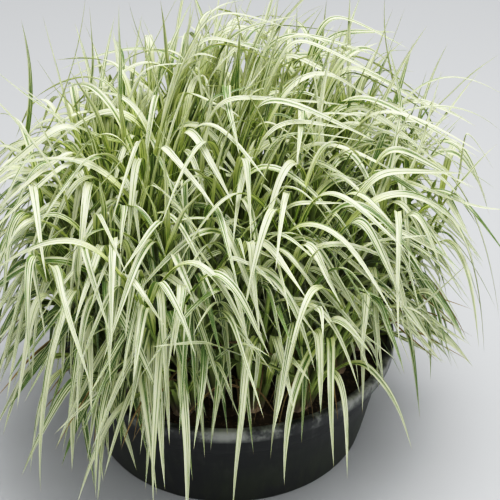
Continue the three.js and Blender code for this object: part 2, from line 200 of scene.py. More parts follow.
lip_centre = TUB_HEIGHT - LIP_ROUNDING
skirt_foot = TUB_HEIGHT - RIM_SKIRT
skirt_inside = RIM_RADIUS - SKIRT_WALL
inner_lip = wall_radius(TUB_HEIGHT) - WALL
tub_profile = [
    (0, UNDERSIDE_RISE),
    (BASE_RADIUS - FOOT_RING_INSIDE, UNDERSIDE_RISE),
    (BASE_RADIUS - FOOT_RING, 0),
    (BASE_RADIUS - BASE_ROUNDING, 0),
    *arc((BASE_RADIUS - BASE_ROUNDING, BASE_ROUNDING), BASE_ROUNDING, -60, 0, 4),
    *[(wall_radius(z), z) for z in (0.02, 0.05, 0.08, BEAD_HEIGHT - BEAD_REACH)],
    (wall_radius(BEAD_HEIGHT) + BEAD_PROUD * 0.7, BEAD_HEIGHT - BEAD_REACH / 2),
    (wall_radius(BEAD_HEIGHT) + BEAD_PROUD, BEAD_HEIGHT),
    (wall_radius(BEAD_HEIGHT) + BEAD_PROUD * 0.7, BEAD_HEIGHT + BEAD_REACH / 2),
    *[(wall_radius(z), z) for z in (BEAD_HEIGHT + BEAD_REACH, 0.13, 0.148)],
    (wall_radius(0.152) + 0.001, RIM_UNDERSIDE),
    (skirt_inside - 0.001, RIM_UNDERSIDE),
    (skirt_inside, RIM_UNDERSIDE - 0.001),
    (skirt_inside, skirt_foot + SKIRT_EDGE),
    *arc((skirt_inside + SKIRT_EDGE, skirt_foot + SKIRT_EDGE), SKIRT_EDGE, 225, 270, 3),
    *arc((RIM_RADIUS - SKIRT_EDGE, skirt_foot + SKIRT_EDGE), SKIRT_EDGE, 270, 360, 4),
    (RIM_RADIUS - 0.0002, skirt_foot + 0.006),
    *arc((RIM_RADIUS - LIP_ROUNDING, lip_centre), LIP_ROUNDING, 0, 90, 7),
    *arc((inner_lip + LIP_ROUNDING * 0.6, TUB_HEIGHT - LIP_ROUNDING * 0.6),
         LIP_ROUNDING * 0.6, 90, 180, 5),
    *[(wall_radius(z) - WALL, z) for z in (0.14, 0.1, 0.05, FLOOR_THICKNESS + 0.003)],
    (wall_radius(0) - WALL - 0.003, FLOOR_THICKNESS),
    (0, FLOOR_THICKNESS),
]

tub_plastic, wires, shader = new_finish("black_polypropylene")
place = wires.node("NewGeometry")
height = place.node("SeparateXYZ", None, {0: place}, 2)
streaks = place.node("VectorMath", {"operation": "MULTIPLY"}, {0: place, 1: (1, 1, 0.12)})
scuffs = streaks.noise(90, 5.0, 0.7)
cloud = place.noise(9, 4.0, 0.6)
grain = place.noise(1500, 2.0, 0.6)
film = (cloud * 0.6 + scuffs * 0.5).rises(0.42, 0.66)
at_rim = height.rises(skirt_foot - 0.004, skirt_foot + 0.01)
low_down = 1 - height.rises(0.02, 0.13)
colour = (scuffs.rises(0.5, 0.75) * 0.55).mix(BLACK_PLASTIC, WORN_PLASTIC)
colour = (low_down * film * 0.7).mix(colour, GREEN_FILM)
# Pale patches round the rim: a painted highlight, the black rim's sheen set into its colour
rim_highlight = at_rim * (place.noise(14, 5.0, 0.65).rises(0.44, 0.6) * 0.8 + film * 0.12)
colour = rim_highlight.mix(colour, PAINTED_RIM_HIGHLIGHT)
colour.feeds(shader, "Base Color")
(cloud * 0.2 + 0.32 + rim_highlight * 0.3).feeds(shader, "Roughness")
relief = grain * 0.5 + scuffs
relief.node("Bump", None, {"Strength": 0.35, "Distance": 0.0004, "Height": relief}).feeds(
    shader, "Normal")

tub = new_piece("planting_tub", *turned(tub_profile, TUB_SIDES), tub_plastic, math.radians(35))
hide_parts("tub")
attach(tub, "root")

# The soil: wet loam and composted bark that fills the tub to a finger's breadth under the rim. Its
# top is uneven, heaped a little round each crown, and strewn with crumbs and flakes of bark.
SOIL_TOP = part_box("soil")[1].z
SOIL_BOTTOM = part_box("soil")[0].z
SOIL_GAP = 0.0006
SOIL_RINGS = 46
SOIL_SIDES = 144
SOIL_UNEVEN = 0.0035
SOIL_SETTLED = 0.0015
SOIL_GRAIN = 0.0005
HEAP_HEIGHT = 0.004
HEAP_REACH = 0.022
CRUMB_COUNT = 900
CRUMB_SIZE = (0.0008, 0.0034)
TUFT_COUNT = 36
PLANTED_RADIUS = 0.196
GOLDEN_ANGLE = math.pi * (3 - math.sqrt(5))
DARK_LOAM = (0.020, 0.013, 0.008, 1)
BROWN_LOAM = (0.070, 0.043, 0.024, 1)
BARK_FLAKE = (0.145, 0.090, 0.050, 1)

tuft_turns = np.arange(TUFT_COUNT) * GOLDEN_ANGLE
tuft_radii = PLANTED_RADIUS * np.sqrt((np.arange(TUFT_COUNT) + 0.5) / TUFT_COUNT)
crown_feet = np.column_stack([tuft_radii * np.cos(tuft_turns), tuft_radii * np.sin(tuft_turns)])

soil_draws = np.random.default_rng(71)


def soil_height(places):
    """How high the soil stands at each place: slow waves, fine lumps and a heap at each crown."""
    x, y = places[:, 0], places[:, 1]
    waves = np.sin(31 * x + 4) * np.cos(27 * y - 2) + 0.6 * np.sin(83 * x - 61 * y)
    lumps = np.sin(190 * x + 70 * y) * np.sin(230 * y - 50 * x + 1)
    apart = np.linalg.norm(places[:, None, :2] - crown_feet[None], axis=2).min(1)
    heap = np.exp(-((apart / HEAP_REACH) ** 2))
    out = np.linalg.norm(places[:, :2], axis=1) / wall_radius(SOIL_TOP)
    rough = SOIL_UNEVEN * (0.35 * waves + 0.25 * lumps) + HEAP_HEIGHT * heap
    return SOIL_TOP - SOIL_SETTLED + rough * (1 - out**8)


soil_edge = wall_radius(SOIL_TOP) - WALL - SOIL_GAP
soil_profile = [
    (0, SOIL_BOTTOM),
    (wall_radius(SOIL_BOTTOM) - WALL - SOIL_GAP - 0.001, SOIL_BOTTOM),
    *[(soil_edge * share, SOIL_TOP) for share in np.linspace(1, 0.02, SOIL_RINGS)],
    (0, SOIL_TOP),
]
soil_points, soil_faces, _ = turned(soil_profile, SOIL_SIDES)
on_top = soil_points[:, 2] > SOIL_TOP - 1e-5
soil_points[on_top, 2] = soil_height(soil_points[on_top])
soil_points[on_top, 2] += soil_draws.normal(0, SOIL_GRAIN, on_top.sum())

# A crumb starts as a regular lump of twelve corners and twenty faces, all with sides under 1.1
phi = (1 + math.sqrt(5)) / 2
lump = np.array([(s, t * phi, 0) for s in (-1, 1) for t in (-1, 1)])
lump = np.vstack([lump, lump[:, [2, 0, 1]], lump[:, [1, 2, 0]]]) / math.hypot(1, phi)
lump_faces = [
    (a, b, c) for a in range(12) for b in range(a + 1, 12) for c in range(b + 1, 12)
    if max(np.linalg.norm(lump[a] - lump[b]), np.linalg.norm(lump[b] - lump[c]),
           np.linalg.norm(lump[c] - lump[a])) < 1.1
]
lump_faces = [
    f if np.dot(np.cross(lump[f[1]] - lump[f[0]], lump[f[2]] - lump[f[0]]), lump[f[0]]) > 0
    else f[::-1] for f in lump_faces
]
crumbs = [soil_points]
for _ in range(CRUMB_COUNT):
    turn, out = soil_draws.uniform(0, 2 * math.pi), math.sqrt(soil_draws.uniform(0, 0.95))
    middle = np.array([[math.cos(turn), math.sin(turn), 0]]) * out * (soil_edge - 0.004)
    middle[0, 2] = soil_height(middle)[0]
    stretch = soil_draws.uniform(*CRUMB_SIZE) * soil_draws.uniform([0.6, 0.5, 0.35], [1.5, 1, 0.7])
    spin = soil_draws.uniform(0, math.pi)
    turn_in_place = np.array([[math.cos(spin), -math.sin(spin), 0],
                              [math.sin(spin), math.cos(spin), 0], [0, 0, 1]])
    shape = lump * soil_draws.uniform(0.8, 1.2, (12, 1)) * stretch
    soil_faces += [tuple(len(crumbs[0]) + 12 * (len(crumbs) - 1) + i for i in f) for f in lump_faces]
    crumbs.append(shape @ turn_in_place.T + middle)
soil_points = np.vstack(crumbs)
flat = soil_points[[corner for face in soil_faces for corner in face], :2]

wet_soil, wires, shader = new_finish("wet_loam")
place = wires.node("NewGeometry")
coarse = place.noise(70, 6.0, 0.7)
flakes = place.node("TexVoronoi", {"feature": "F1"}, {"Vector": place, "Scale": 420.0}, "Color")
flake = flakes.node("SeparateColor", None, {0: flakes})
colour = coarse.rises(0.35, 0.65).mix(DARK_LOAM, BROWN_LOAM)
colour = flake.rises(0.86, 0.9).mix(colour, BARK_FLAKE)
colour.feeds(shader, "Base Color")
(coarse * 0.3 + 0.62).feeds(shader, "Roughness")
relief = place.noise(600, 4.0, 0.65)
relief.node("Bump", None, {"Strength": 0.7, "Distance": 0.001, "Height": relief}).feeds(
    shader, "Normal")

soil = new_piece("wet_soil", soil_points, soil_faces, flat * 2 + 0.5, wet_soil, math.radians(50))
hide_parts("soil")
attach(soil, "root")

# The tufts: each is a knobbly crown in the soil with six leafy shoots, and a shoot is a culm wrapped
# in sheaths, from which thin channelled strap leaves spring one above the other. Two shoots of a tuft
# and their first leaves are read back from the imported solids, and the rest are grown between them.
CROWN_RADIUS = 0.016
CROWN_DEPTH = 0.046
CROWN_PROUD = 0.004
CROWN_TOP = SOIL_TOP + CROWN_PROUD
CROWN_SIDES = 14
SHOOT_OFFSET = 0.0065
CULM_RADIUS = 0.0046
CULM_TIP_RADIUS = 0.0024
CULM_POINT = 0.009
CULM_SINK = 0.005
CULM_SIDES = 8
CULM_LENGTH = 0.296
CULM_SHORTER_OUTSIDE = 0.040
CULM_LEAN = 3
CULM_LEAN_OUTSIDE = 13
CULM_PARTING = 0.15
SHEATH_STEP = 0.0007
SHEATH_SPACING = 0.006
ADDED_SHOOTS = (60, 120, 240, 300)
ADDED_OFFSET = 0.011
LEAVES_PER_SHOOT = (8.9, 6.2)
LOWEST_COLLAR = 0.42
LOWEST_COLLAR_OUTSIDE = 0.12
HIGHEST_COLLAR = 0.97
STATION_COUNT = 23
LEAF_STATIONS = {"arching": (0.18, 0.47, 0.76), "spear": (0.3, 0.68), "long": (0.14, 0.36, 0.58, 0.8)}
LEAF_WIDTH = 0.012
LEAF_LENGTH = (0.25, 0.39)
SPEAR_LENGTH = (0.16, 0.28)
SPEARS_FROM = 0.88
CAD_TAPER = 3.2
TAPER = 2.6
COMBED_TOWARDS = math.radians(-12)
FULLER_SIDE = math.radians(-140)
THINNER_SIDE = math.radians(-60)
BLADE_THICKNESS = 0.0005
NARROWEST_HALF = 0.0004
TIP_LENGTH = 0.002
WITHERED_FOLD = 1.1
ATLAS_COLUMNS = 16
GREEN_COLUMNS = (9, 12)
PALE_COLUMNS = (12, 14)
CULM_COLUMN = 14
WITHERED_COLUMN = 15
COLUMN_MARGIN = 0.07
CELL = 0.005
MOST_SHARED_CELLS = 0.05
FEW_SHARED_CELLS = 0.012
GROW_ROUNDS = 14
GROW_ATTEMPTS = 12
DOME_TOP = 0.600
DOME_MIDDLE = (0.03, 0.05)
DOME_FALL = 1.15
DOME_ROUGH = 0.032
SPEARS_ABOVE = 0.055
TOP_MARGIN = 0.004
SIDE_MARGIN = 0.003
OVER_RIM = 0.006
ROUND_RIM = 0.009
LOWEST_HANG = 0.026
THIN_SIDE_LIFT = 0.25
SHORTER_SIDE = math.radians(5)
SHORTER_BY = (0.02, 0.085)
tip_draws = np.random.default_rng(20417)


def opening(share, taper=CAD_TAPER):
    """A blade's width along it, as a share of its widest."""
    return np.minimum(1, 0.3 + 2.4 * share) * (1 - share**taper)


def bezier(shares):
    """The weights of the four control points at each share of a leaf's curve."""
    s = np.asarray(shares, float)[:, None]
    return np.hstack([(1 - s) ** 3, 3 * s * (1 - s) ** 2, 3 * s**2 * (1 - s), s**3])


def unit(vectors):
    return vectors / np.linalg.norm(vectors, axis=-1, keepdims=True)


def lean_towards(angle, bearing):
    return np.array([math.sin(angle) * math.cos(bearing), math.sin(angle) * math.sin(bearing),
                     math.cos(angle)])


def welded(node):
    """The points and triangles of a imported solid, with shared corners."""
    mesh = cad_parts[node].data
    places = np.empty(len(mesh.vertices) * 3)
    mesh.vertices.foreach_get("co", places)
    mesh.calc_loop_triangles()
    corners = np.empty(len(mesh.loop_triangles) * 3, int)
    mesh.loop_triangles.foreach_get("vertices", corners)
    points, index = np.unique(np.round(places.reshape(-1, 3), 6), axis=0, return_inverse=True)
    return points, index.reshape(-1)[corners.reshape(-1, 3)]


def read_leaf(points, near, tip):
    """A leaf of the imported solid, walked ring by ring from its tip back to its culm. Its curve has
    four control points, which follow from the middles of the rings."""
    seen, rings, ring = {tip}, [], set(near[tip])
    while len(ring) == 3 and len(rings) < 4:
        rings.append(points[list(ring)])
        seen |= ring
        ring = set().union(*(near[i] for i in ring)) - seen
    edges = []
    for corners in rings:
        pairs = [(corners[k], corners[(k + 1) % 3], corners[(k + 2) % 3]) for k in range(3)]
        keel, one, other = min(pairs, key=lambda p: np.linalg.norm(p[0] - (p[1] + p[2]) / 2))
        edges.append((keel, one, other))
    widths = [np.linalg.norm(other - one) for _, one, other in edges]
    kind = min(LEAF_STATIONS, key=lambda name: abs(
        widths[0] / widths[1] - opening(LEAF_STATIONS[name][-1]) / opening(LEAF_STATIONS[name][-2])))
    stations = LEAF_STATIONS[kind]
    edges = edges[: len(stations)][::-1]
    middles = [(one + other) / 2 for _, one, other in edges]
    places, weights = np.array([*middles, points[tip]]), bezier([*stations, 1])
    if kind == "spear":
        weights = np.vstack([weights, [[-1, 3, -3, 1]]])
        places = np.vstack([places, [[0, 0, 0]]])
    control = np.linalg.lstsq(weights, places, rcond=None)[0]
    tangents = unit(np.gradient(bezier(np.linspace(0, 1, 101)) @ control, axis=0))
    sides = []
    for (keel, one, other), middle, share in zip(edges, middles, stations):
        side, tangent = unit(other - one), tangents[round(100 * share)]
        if np.dot(np.cross(tangent, side), middle - keel) < 0:
            side = -side
        sides.append(side)
    shares = np.linspace(0, 1, STATION_COUNT)
    side = np.column_stack([np.interp(shares, stations, np.array(sides)[:, i]) for i in range(3)])
    return {"line": bezier(shares) @ control, "shares": shares, "side": side, "kind": kind,
            "width": widths[0] / opening(stations[-1]), "taper": CAD_TAPER}


def read_tuft(node, index):
    """The two culms of a packed tuft and its leaves, each with the culm that bears it."""
    points, faces = welded(node)
    around, count, near = np.zeros(len(points)), np.zeros(len(points), int), [set() for _ in points]
    for k in range(3):
        here, after, before = (points[faces[:, (k + j) % 3]] for j in range(3))
        cosine = (unit(after - here) * unit(before - here)).sum(1).clip(-1, 1)
        np.add.at(around, faces[:, k], np.arccos(cosine))
        np.add.at(count, faces[:, k], 1)
    for face in faces.tolist():
        for corner in face:
            near[corner].update(face)
    near = [those - {i} for i, those in enumerate(near)]
    foot = np.array([*crown_feet[index], CROWN_TOP])
    peaks = points[(count > 3) & (around < 2)]
    shoots = []
    for k in range(2):
        turn = tuft_turns[index] + k * math.pi
        base = foot + SHOOT_OFFSET * np.array([math.cos(turn), math.sin(turn), 0])
        outward = unit(foot[:2]) * (1 - 2 * k)
        peak = peaks[np.argmax((peaks[:, :2] - foot[:2]) @ outward)]
        shoots.append(new_shoot(base, unit(peak - base), np.linalg.norm(peak - base) - CULM_POINT))
    for tip in np.flatnonzero((count == 3) & (around < 1.2)):
        leaf = read_leaf(points, near, tip)
        root = leaf["line"][0]
        rises = [(root - s["base"]) @ s["direction"] for s in shoots]
        apart = [np.linalg.norm(root - s["base"] - r * s["direction"]) for s, r in zip(shoots, rises)]
        shoot = shoots[int(np.argmin(apart))]
        leaf["collar"] = rises[int(np.argmin(apart))]
        shoot["leaves"].append(leaf)
    return shoots


def new_shoot(base, direction, length):
    edge = min(1, np.linalg.norm(base[:2]) / PLANTED_RADIUS)
    return {"base": base, "direction": direction, "length": length, "edge": edge, "leaves": [],
            "outward": math.atan2(base[1], base[0]), "plane": tip_draws.uniform(0, 2 * math.pi)}


def added_shoot(index, turn):
    """A shoot between the two of the solids, leaning out with them and parted from them."""
    foot = np.array([*crown_feet[index], CROWN_TOP])
    spread = tuft_turns[index] + math.radians(turn + tip_draws.uniform(-12, 12))
    aside = np.array([math.cos(spread), math.sin(spread), 0])
    base = foot + ADDED_OFFSET * aside
    edge = min(1, np.linalg.norm(foot[:2]) / PLANTED_RADIUS)
    lean = math.radians(CULM_LEAN + CULM_LEAN_OUTSIDE * edge + tip_draws.uniform(-3, 3))
    direction = unit(lean_towards(lean, math.atan2(base[1], base[0])) + CULM_PARTING * aside)
    length = (CULM_LENGTH - CULM_SHORTER_OUTSIDE * edge**2) * tip_draws.uniform(0.8, 1.06)
    return new_shoot(base, direction, length)


# How full each small cell of air is, so that an added leaf keeps clear of most others
air_low, air_high = np.array(cad_box[0]) - 0.02, np.array(cad_box[1]) + 0.02
air = np.zeros(np.ceil((air_high - air_low) / CELL).astype(int), np.int16)
DENSE_SHARES = np.linspace(0.1, 1, 70)
FINE_SHARES = np.linspace(0, 1, 121)


def leaf_cells(leaf):
    line, side = (np.column_stack([np.interp(DENSE_SHARES, leaf["shares"], leaf[name][:, i])
                                   for i in range(3)]) for name in ("line", "side"))
    half = (opening(DENSE_SHARES) * leaf["width"] / 2)[:, None]
    spots = np.vstack([line, line - side * half * 0.8, line + side * half * 0.8])
    return line, tuple(((spots - air_low) / CELL).astype(int).T)


def towards(bearing, favoured):
    """1 for a bearing on the favoured side of the clump, falling to 0 a quarter turn from it."""
    return np.maximum(0, np.cos(bearing - favoured)) ** 2


def stays_in_reach(line, above_dome, shorter, lowest_in_tub=TUB_HEIGHT + OVER_RIM):
    """True if the leaf stays under the clump's dome, hangs no lower than its side of the clump does,
    and stays above lowest_in_tub over the tub. Below the rim's height that doesn't test the wall."""
    out, height = np.linalg.norm(line[:, :2], axis=1), line[:, 2]
    bearing = np.arctan2(line[:, 1], line[:, 0])
    lowest = LOWEST_HANG + THIN_SIDE_LIFT * towards(bearing, THINNER_SIDE)
    dome = DOME_TOP + above_dome - DOME_FALL * ((line[:, :2] - DOME_MIDDLE) ** 2).sum(1)
    over_tub = out < RIM_RADIUS + ROUND_RIM
    farthest = cad_box[1].x - SIDE_MARGIN - shorter * towards(bearing, SHORTER_SIDE)
    return bool((out < farthest).all() and (height[~over_tub] > lowest[~over_tub]).all()
                and (height < np.minimum(dome, cad_box[1].z - TOP_MARGIN)).all()
                and (height[over_tub] > lowest_in_tub).all())


def bent_leaf(shoot, collar, bearing, length, rise, droop, bend, sweep, twist, width, kind):
    """A leaf that leaves its sheath at rise from the upright, turns over at its bend, a place and a
    span along it, and goes on at droop from the upright. It sweeps sideways and twists on its way."""
    at, span = bend
    turned_over = 0.5 + 0.5 * np.tanh(1.6 * (FINE_SHARES - at) / span)
    angle = rise + (droop - rise) * (0.16 * FINE_SHARES + 0.84 * turned_over)
    heading = bearing + sweep * turned_over
    tangent = np.column_stack([np.sin(angle) * np.cos(heading), np.sin(angle) * np.sin(heading),
                               np.cos(angle)])
    root = shoot["base"] + shoot["direction"] * collar
    steps = (tangent[1:] + tangent[:-1]) / 2 * length / (len(FINE_SHARES) - 1)
    line = root + np.vstack([[0, 0, 0], np.cumsum(steps, axis=0)])
    crowding = np.cumsum(1 + 2.5 * np.exp(-(((FINE_SHARES - at) / span) ** 2)))
    places = (crowding - crowding[0]) / (crowding[-1] - crowding[0])
    shares = np.interp(np.linspace(0, 1, STATION_COUNT), places, FINE_SHARES)
    line, tangent = (np.column_stack([np.interp(shares, FINE_SHARES, values[:, i]) for i in range(3)])
                     for values in (line, tangent))
    tangent = unit(tangent)
    side = np.array([[-math.sin(bearing), math.cos(bearing), 0.0]])
    side = unit(side - (side * tangent).sum(1, keepdims=True) * tangent)
    turn = (twist * shares)[:, None]
    side = side * np.cos(turn) + np.cross(tangent, side) * np.sin(turn)
    return {"line": line, "shares": shares, "side": side, "width": width, "taper": TAPER,
            "kind": kind, "collar": collar}


def grown_leaf(shoot, share):
    """An added leaf: up out of its sheath, a tight turn over, and down in a long hanging end. share
    is 0 for the shoot's lowest leaf and 1 for its youngest, which stands as a spear."""
    draw = tip_draws.uniform
    edge, spear = shoot["edge"], share > SPEARS_FROM
    low = (1 - share) * edge
    combed = (1 - 0.5 * edge) * np.array([math.cos(COMBED_TOWARDS), math.sin(COMBED_TOWARDS)]) * 0.9
    flow = shoot["base"][:2] / PLANTED_RADIUS + combed
    chance = draw()
    stray = 30 if chance < 0.55 else 80 if chance < 0.85 else 180 - 60 * edge
    bearing = math.atan2(flow[1], flow[0]) + math.radians(draw(-stray, stray))
    lowest = LOWEST_COLLAR + (LOWEST_COLLAR_OUTSIDE - LOWEST_COLLAR) * edge
    collar = shoot["length"] * (lowest + (HIGHEST_COLLAR - lowest) * min(share / 0.93, 1))
    lean = math.acos(shoot["direction"][2])
    sweep, twist = math.radians(draw(-34, 34)), math.radians(draw(-50, 50))
    if spear:
        rise = lean * draw(0.5, 1) + math.radians(draw(2, 9) + edge * draw(0, 16))
        return bent_leaf(shoot, collar, bearing, draw(*SPEAR_LENGTH), rise,
                         rise + math.radians(draw(3, 26)), (0.7, 0.5), sweep, twist,
                         LEAF_WIDTH * draw(0.6, 0.95), "spear")
    length = draw(*LEAF_LENGTH) * (1 - 0.14 * edge + 0.12 * low * towards(bearing, FULLER_SIDE)
                                   - 0.25 * edge * towards(bearing, THINNER_SIDE))
    rise = lean * 0.5 + math.radians(draw(2, 16) + low * draw(0, 46))
    upright = draw() < 0.14 + 0.36 * share
    if upright:
        droop, at = math.radians(draw(25, 115)), draw(0.64, 0.84)
    else:
        high, hanging = draw(98, 158), draw(125, 176)
        droop, at = math.radians(high + (hanging - high) * low), draw(0.36, 0.5) + 0.12 * share
    return bent_leaf(shoot, collar, bearing, length, rise, droop, (at, draw(0.07, 0.24)), sweep, twist,
                     LEAF_WIDTH * draw(0.78 + 0.15 * low, 1.2 + 0.2 * low), "arching")


def grow(shoot, number, share):
    """Adds a leaf at this share of the shoot, where most of its cells of air are free. The cells are
    coarse and some may be shared, so this thins the crossings of leaves and doesn't prevent them."""
    best, least = None, MOST_SHARED_CELLS
    for _ in range(GROW_ATTEMPTS):
        leaf = grown_leaf(shoot, share)
        line, cells = leaf_cells(leaf)
        above_dome = tip_draws.uniform(-DOME_ROUGH, DOME_ROUGH)
        if leaf["kind"] == "spear":
            above_dome += tip_draws.uniform(0, SPEARS_ABOVE)
        if not stays_in_reach(line, above_dome, tip_draws.uniform(*SHORTER_BY)):
            continue
        met = air[cells]
        shared = ((met != 0) & (met != number)).mean()
        if shared < least:
            best, least = (leaf, cells), shared
            if shared < FEW_SHARED_CELLS:
                break
    if best:
        leaf, cells = best
        air[cells] = number
        shoot["leaves"].append(leaf)


tufts = [read_tuft(f"tuft_{i + 1:02d}", i) for i in range(TUFT_COUNT)]
for index, shoots in enumerate(tufts):
    shoots += [added_shoot(index, turn) for turn in ADDED_SHOOTS]
all_shoots = [shoot for shoots in tufts for shoot in shoots]
for number, shoot in enumerate(all_shoots, 1):
    for leaf in shoot["leaves"]:
        air[leaf_cells(leaf)[1]] = number
    stem = shoot["base"] + shoot["direction"] * np.linspace(0, shoot["length"], 80)[:, None]
    air[tuple(((stem - air_low) / CELL).astype(int).T)] = number
for turn in range(GROW_ROUNDS):
    for number, shoot in enumerate(all_shoots, 1):
        most = LEAVES_PER_SHOOT[0] + (LEAVES_PER_SHOOT[1] - LEAVES_PER_SHOOT[0]) * shoot["edge"]
        if len(shoot["leaves"]) < most:
            youngest = turn == 0 and not any(leaf["kind"] == "spear" for leaf in shoot["leaves"])
            share = tip_draws.uniform(0.84, 1) if youngest else (
                0.95 * tip_draws.uniform() ** (1 + 0.9 * shoot["edge"]))
            grow(shoot, number, share)


def withered_leaf(shoot):
    """An old leaf that has dried, low on its shoot, bent down and curled in on itself."""
    draw = tip_draws.uniform
    bearing = shoot["outward"] + math.radians(draw(-70, 70))
    return bent_leaf(shoot, shoot["length"] * draw(0.06, 0.3), bearing, draw(0.12, 0.24),
                     math.radians(draw(25, 60)), math.radians(draw(110, 165)),
                     (draw(0.3, 0.5), draw(0.1, 0.3)), draw(-0.6, 0.6), math.radians(draw(-140, 140)),
                     LEAF_WIDTH * draw(0.35, 0.7), "withered")


for shoot in all_shoots:
    if tip_draws.uniform() < 0.18 + 0.5 * shoot["edge"]:
        for _ in range(GROW_ATTEMPTS):
            leaf = withered_leaf(shoot)
            if stays_in_reach(leaf_cells(leaf)[0], 0, SHORTER_BY[0], CROWN_TOP):
                shoot["leaves"].append(leaf)
                break


def column_of(leaf, shoot):
    """Which column of the stripes' map a leaf wears: greener low down, paler on high arches."""
    if leaf["kind"] == "withered":
        return WITHERED_COLUMN
    share = leaf["collar"] / shoot["length"]
    chance = tip_draws.uniform()
    if chance < 0.36 - 0.4 * share:
        return tip_draws.integers(*GREEN_COLUMNS)
    if chance > 0.98 - 0.1 * share:
        return tip_draws.integers(*PALE_COLUMNS)
    return tip_draws.integers(0, GREEN_COLUMNS[0])


def blades(leaves, columns):
    """Closed thin blades over the leaves' curves, all with the same count of points. Each ring runs
    over the upper face from edge to edge and back under it."""
    count, rings = len(leaves), STATION_COUNT - 1
    draw = tip_draws.uniform
    share = np.array([leaf["shares"] for leaf in leaves])[:, :, None]
    line = np.array([leaf["line"] for leaf in leaves])
    side = np.array([leaf["side"] for leaf in leaves])
    width, taper = (np.array([leaf[name] for leaf in leaves])[:, None, None]
                    for name in ("width", "taper"))
    dried = np.array([leaf["kind"] == "withered" for leaf in leaves])[:, None, None]
    tangent = np.diff(line, axis=1)
    tangent = unit(np.concatenate([tangent[:, :1], tangent[:, 1:] + tangent[:, :-1], tangent[:, -1:]], 1))
    side = unit(side - (side * tangent).sum(2, keepdims=True) * tangent)
    sway = draw(0, 2 * math.pi, (count, 1, 1)), draw(1.2, 2.6, (count, 1, 1))
    rock = np.sin(2 * math.pi * share * sway[1] + sway[0]) * draw(0.02, 0.16, (count, 1, 1))
    face = np.cross(tangent, side)
    side, face = side * np.cos(rock) + face * np.sin(rock), face * np.cos(rock) - side * np.sin(rock)
    drift = np.sin(2 * math.pi * share * sway[1] * 0.8 + 2 * sway[0]) * share * (1 - share)
    line = line + side * drift * draw(0, 0.006, (count, 1, 1)) + face * drift * 0.003
    fold = (0.62 - 0.95 * share + 0.55 * share**2) * draw(0.75, 1.35, (count, 1, 1))
    fold = np.where(dried, WITHERED_FOLD, fold)
    half = np.maximum(opening(share, taper) * width / 2, NARROWEST_HALF)
    thick = BLADE_THICKNESS * (1.15 - 0.6 * share)
    across = np.array([-1, -0.55, 0, 0.55, 1, 0.55, 0, -0.55])
    under = np.array([0, 0, 0, 0, 0, 0.8, 1.2, 0.8])
    ripple = np.sin(2 * math.pi * share * draw(3, 6, (count, 1, 1)) + sway[0]) * 0.05
    points = []
    for reach, below in zip(across, under):
        bent = fold * (1 + np.sign(reach) * ripple * 2)
        out = side * half * reach * np.cos(bent)
        down = face * (half * (np.abs(reach) ** 1.25 - 1) * np.sin(bent) - below * thick)
        points.append(line + out + down)
    points = np.stack(points, 2)
    places = np.zeros(points.shape[:3] + (2,))
    spread = COLUMN_MARGIN + (1 - 2 * COLUMN_MARGIN) * (across + 1) / 2
    places[..., 0] = (np.array(columns)[:, None, None] + spread) / ATLAS_COLUMNS
    places[..., 1] = 0.01 + 0.98 * share
    ring_size = len(across)
    size = rings * ring_size + 1
    tips = line[:, -1] + tangent[:, -1] * TIP_LENGTH
    solid = np.concatenate([points[:, :rings].reshape(count, -1, 3), tips[:, None]], 1)
    mapped = np.concatenate([places[:, :rings].reshape(count, -1, 2), places[:, -1, 2][:, None]], 1)
    faces = [tuple(range(ring_size))]
    for ring in range(rings - 1):
        for k in range(ring_size):
            here, after = ring * ring_size + k, ring * ring_size + (k + 1) % ring_size
            faces.append((here, here + ring_size, after + ring_size, after))
    last = (rings - 1) * ring_size
    faces += [(last + k, size - 1, last + (k + 1) % ring_size) for k in range(ring_size)]
    every = [tuple(start * size + i for i in face) for start in range(count) for face in faces]
    return solid.reshape(-1, 3), every, mapped.reshape(-1, 2)


def culm(shoot):
    """A shoot's stem in its sheaths: a thin tube with a small step where each sheath opens."""
    length = shoot["length"]
    across = unit(np.cross(shoot["direction"], [0, 0, 1]))
    along = np.cross(shoot["direction"], across)

    def radius(rise):
        return CULM_RADIUS + (CULM_TIP_RADIUS - CULM_RADIUS) * max(0, rise / length)

    rises = [(-CULM_SINK, radius(0) * 1.15), (0.012, radius(0) * 1.05)]
    for collar in sorted(leaf["collar"] for leaf in shoot["leaves"]):
        if rises[-1][0] + SHEATH_SPACING < collar < length - SHEATH_SPACING:
            rises += [(collar - 0.002, radius(collar) + SHEATH_STEP), (collar + 0.001, radius(collar))]
    rises.append((length, CULM_TIP_RADIUS))
    angles = np.linspace(0, 2 * math.pi, CULM_SIDES, endpoint=False)
    circle = np.cos(angles)[:, None] * across + np.sin(angles)[:, None] * along
    points = [shoot["base"] + shoot["direction"] * rise + circle * r for rise, r in rises]
    points.append(shoot["base"][None] + shoot["direction"] * (length + CULM_POINT))
    mirrored = np.abs(np.arange(CULM_SIDES) / CULM_SIDES * 2 - 1)
    u = (CULM_COLUMN + COLUMN_MARGIN + (1 - 2 * COLUMN_MARGIN) * mirrored) / ATLAS_COLUMNS
    places = [np.column_stack([u, np.full(CULM_SIDES, 0.02 + 0.9 * max(0, rise) / length)])
              for rise, _ in rises]
    places.append([[(CULM_COLUMN + 0.5) / ATLAS_COLUMNS, 0.97]])
    faces = [tuple(range(CULM_SIDES))[::-1]]
    for ring in range(len(rises) - 1):
        for k in range(CULM_SIDES):
            here, after = ring * CULM_SIDES + k, ring * CULM_SIDES + (k + 1) % CULM_SIDES
            faces.append((here, after, after + CULM_SIDES, here + CULM_SIDES))
    last, tip = (len(rises) - 1) * CULM_SIDES, len(rises) * CULM_SIDES
    faces += [(last + k, last + (k + 1) % CULM_SIDES, tip) for k in range(CULM_SIDES)]
    return np.vstack(points), faces, np.vstack(places)


